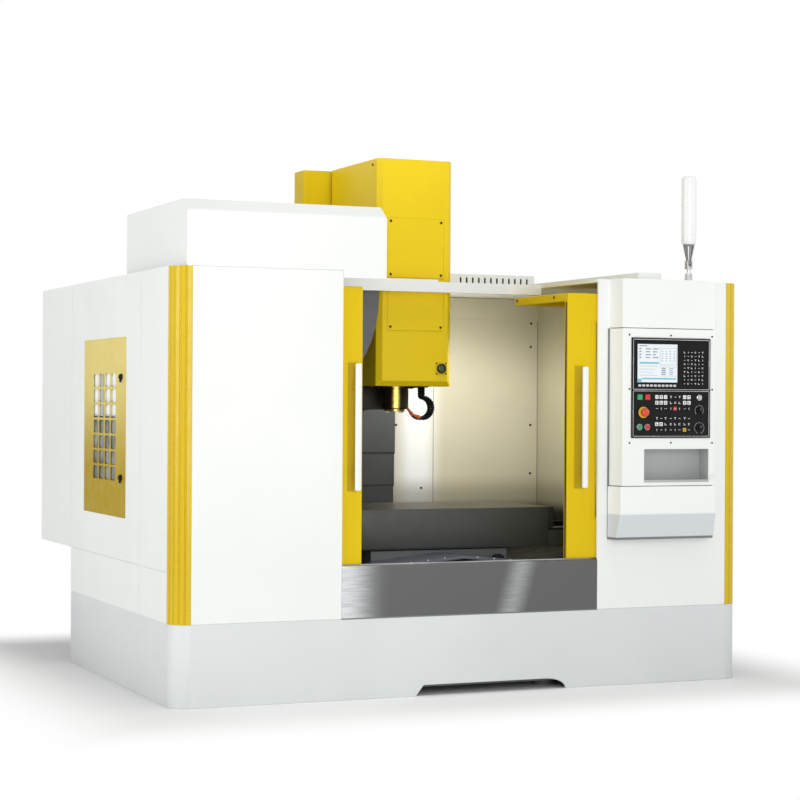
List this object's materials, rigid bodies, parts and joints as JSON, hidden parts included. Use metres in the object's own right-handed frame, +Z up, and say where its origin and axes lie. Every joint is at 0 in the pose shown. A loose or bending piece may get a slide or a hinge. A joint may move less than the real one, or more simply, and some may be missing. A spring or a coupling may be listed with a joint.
{
  "type": "cnc machining center",
  "caption": "Vertical machining center: sheet-metal enclosure with sliding doors over a bed, moving table, column and spindle head, with tool magazine and operator console.",
  "frame": {"origin": "on the floor under the middle of the outer box", "axes": "+X to the operator's right, +Y to the back, +Z up"},
  "size_m": [3.4, 3.006, 2.988],
  "materials": {
    "white_paint": "satin powder coat",
    "yellow_paint": "satin powder coat",
    "skirt_paint": "satin powder coat",
    "liner": "satin sheet",
    "cast_iron": "painted casting",
    "brushed_steel": "brushed",
    "dark_steel": "oiled steel",
    "cover_steel": "satin sheet",
    "ground_iron": "ground",
    "window": "clear",
    "spindle_metal": "ground",
    "black_plastic": "matte",
    "screen": "gloss",
    "key_plastic": "matte",
    "red_plastic": "gloss",
    "green_plastic": "gloss",
    "lamp_plastic": "satin"
  },
  "bodies": {
    "machine": {"bed_casting": "cast_iron", "base_skirt": "skirt_paint", "front_apron": "brushed_steel", "left_front_panel": "white_paint", "right_front_panel": "white_paint", "corner_pillars": "yellow_paint", "left_side_panel": "white_paint", "right_side_panel": "white_paint", "roof_panel": "white_paint", "vent_hood": "white_paint", "magazine_cover": "white_paint", "column_top_cover": "yellow_paint", "work_area_liner": "liner", "column_casting": "cast_iron", "rear_cabinet": "white_paint", "door_rails": "brushed_steel", "console_housing": "white_paint", "console_lower_box": "white_paint", "operator_panel": "black_plastic", "display_screen": "screen", "panel_keys": "key_plastic", "tower_foot": "brushed_steel", "magazine_frame": "cast_iron", "fixed_way_covers": "cover_steel"},
    "saddle": {"saddle": "cast_iron", "x_way_cover": "dark_steel", "saddle_way_covers": "cover_steel"},
    "table": {"table": "ground_iron"},
    "head": {"head_casting": "cast_iron", "head_cover": "yellow_paint", "spindle_housing": "dark_steel", "spindle_motor": "dark_steel", "coolant_hoses": "black_plastic", "z_cover_upper": "dark_steel"},
    "spindle": {"spindle": "spindle_metal"},
    "front_cover_2": {"front_way_cover_2": "cover_steel"},
    "front_cover_3": {"front_way_cover_3": "cover_steel"},
    "rear_cover_2": {"rear_way_cover_2": "cover_steel"},
    "rear_cover_3": {"rear_way_cover_3": "cover_steel"},
    "middle_z_cover": {"z_cover_middle": "dark_steel"},
    "lower_z_cover": {"z_cover_lower": "dark_steel"},
    "left_door": {"left_door": "yellow_paint", "left_door_window": "window", "left_door_handle": "white_paint"},
    "right_door": {"right_door": "yellow_paint", "right_door_window": "window", "right_door_handle": "white_paint"},
    "service_door": {"service_door": "yellow_paint"},
    "left_cabinet_door": {"left_cabinet_door": "white_paint"},
    "right_cabinet_door": {"right_cabinet_door": "white_paint"},
    "carousel": {"tool_carousel": "cast_iron"},
    "emergency_stop": {"emergency_stop": "red_plastic"},
    "start_button": {"start_button": "green_plastic"},
    "hold_button": {"hold_button": "red_plastic"},
    "power_on_button": {"power_on_button": "green_plastic"},
    "power_off_button": {"power_off_button": "red_plastic"},
    "feed_dial": {"feed_dial": "black_plastic"},
    "speed_dial": {"speed_dial": "black_plastic"},
    "key_switch": {"key_switch": "brushed_steel"},
    "tower_lamp": {"tower_lamp": "lamp_plastic"}
  },
  "joints": [
    {"name": "saddle_y", "type": "slide", "parent": "machine", "child": "saddle", "axis": [0, 1, 0], "range_m": [0, 0.7]},
    {"name": "table_x", "type": "slide", "parent": "saddle", "child": "table", "axis": [1, 0, 0], "range_m": [-0.65, 0.65]},
    {"name": "head_z", "type": "slide", "parent": "machine", "child": "head", "axis": [0, 0, 1], "range_m": [-0.392, 0.308]},
    {"name": "spindle_spin", "type": "hinge", "parent": "head", "child": "spindle", "pos_m": [0, -0.247, 1.6], "axis": [0, 0, 1], "continuous": true},
    {"name": "front_cover_2_slide", "type": "slide", "parent": "machine", "child": "front_cover_2", "axis": [0, 1, 0], "range_m": [0, 0.47]},
    {"name": "front_cover_3_slide", "type": "slide", "parent": "machine", "child": "front_cover_3", "axis": [0, 1, 0], "range_m": [0, 0.24]},
    {"name": "rear_cover_2_slide", "type": "slide", "parent": "machine", "child": "rear_cover_2", "axis": [0, 1, 0], "range_m": [0, 0.47]},
    {"name": "rear_cover_3_slide", "type": "slide", "parent": "machine", "child": "rear_cover_3", "axis": [0, 1, 0], "range_m": [0, 0.24]},
    {"name": "middle_z_cover_slide", "type": "slide", "parent": "machine", "child": "middle_z_cover", "axis": [0, 0, 1], "range_m": [-0.265, 0.21]},
    {"name": "lower_z_cover_slide", "type": "slide", "parent": "machine", "child": "lower_z_cover", "axis": [0, 0, 1], "range_m": [-0.135, 0.105]},
    {"name": "left_door_slide", "type": "slide", "parent": "machine", "child": "left_door", "axis": [1, 0, 0], "range_m": [0, 0.645]},
    {"name": "right_door_slide", "type": "slide", "parent": "machine", "child": "right_door", "axis": [1, 0, 0], "range_m": [-0.585, 0.06]},
    {"name": "service_door_hinge", "type": "hinge", "parent": "machine", "child": "service_door", "pos_m": [-1.691, 0.4382, 1.432], "axis": [0, 0, -1], "range_deg": [0, 90]},
    {"name": "left_cabinet_hinge", "type": "hinge", "parent": "machine", "child": "left_cabinet_door", "pos_m": [-1.5402, 1.494, 1.49], "axis": [0, 0, 1], "range_deg": [0, 90]},
    {"name": "right_cabinet_hinge", "type": "hinge", "parent": "machine", "child": "right_cabinet_door", "pos_m": [1.5402, 1.494, 1.49], "axis": [0, 0, -1], "range_deg": [0, 90]},
    {"name": "carousel_spin", "type": "hinge", "parent": "machine", "child": "carousel", "pos_m": [-0.77, -0.447, 1.93], "axis": [0, 1, 0], "continuous": true},
    {"name": "emergency_stop_push", "type": "slide", "parent": "machine", "child": "emergency_stop", "axis": [0, 1, 0], "range_m": [0, 0.006], "stiffness_N_per_m": 800},
    {"name": "start_push", "type": "slide", "parent": "machine", "child": "start_button", "axis": [0, 1, 0], "range_m": [0, 0.004], "stiffness_N_per_m": 800},
    {"name": "hold_push", "type": "slide", "parent": "machine", "child": "hold_button", "axis": [0, 1, 0], "range_m": [0, 0.004], "stiffness_N_per_m": 800},
    {"name": "power_on_push", "type": "slide", "parent": "machine", "child": "power_on_button", "axis": [0, 1, 0], "range_m": [0, 0.004], "stiffness_N_per_m": 800},
    {"name": "power_off_push", "type": "slide", "parent": "machine", "child": "power_off_button", "axis": [0, 1, 0], "range_m": [0, 0.004], "stiffness_N_per_m": 800},
    {"name": "feed_dial_turn", "type": "hinge", "parent": "machine", "child": "feed_dial", "pos_m": [1.349, -1.469, 1.544], "axis": [0, -1, 0], "range_deg": [-135, 135]},
    {"name": "speed_dial_turn", "type": "hinge", "parent": "machine", "child": "speed_dial", "pos_m": [1.349, -1.469, 1.445], "axis": [0, -1, 0], "range_deg": [-135, 135]},
    {"name": "key_switch_turn", "type": "hinge", "parent": "machine", "child": "key_switch", "pos_m": [1.349, -1.469, 1.616], "axis": [0, -1, 0], "range_deg": [0, 60]},
    {"name": "tower_fold", "type": "hinge", "parent": "machine", "child": "tower_lamp", "pos_m": [1.385, -1.287, 2.387], "axis": [-1, 0, 0], "range_deg": [0, 90]}
  ],
  "couplings": [
    {"joint": "front_cover_2_slide", "follows": "saddle_y", "ratio": 0.66667},
    {"joint": "front_cover_3_slide", "follows": "saddle_y", "ratio": 0.33333},
    {"joint": "rear_cover_2_slide", "follows": "saddle_y", "ratio": 0.66667},
    {"joint": "rear_cover_3_slide", "follows": "saddle_y", "ratio": 0.33333},
    {"joint": "middle_z_cover_slide", "follows": "head_z", "ratio": 0.66667},
    {"joint": "lower_z_cover_slide", "follows": "head_z", "ratio": 0.33333}
  ]
}
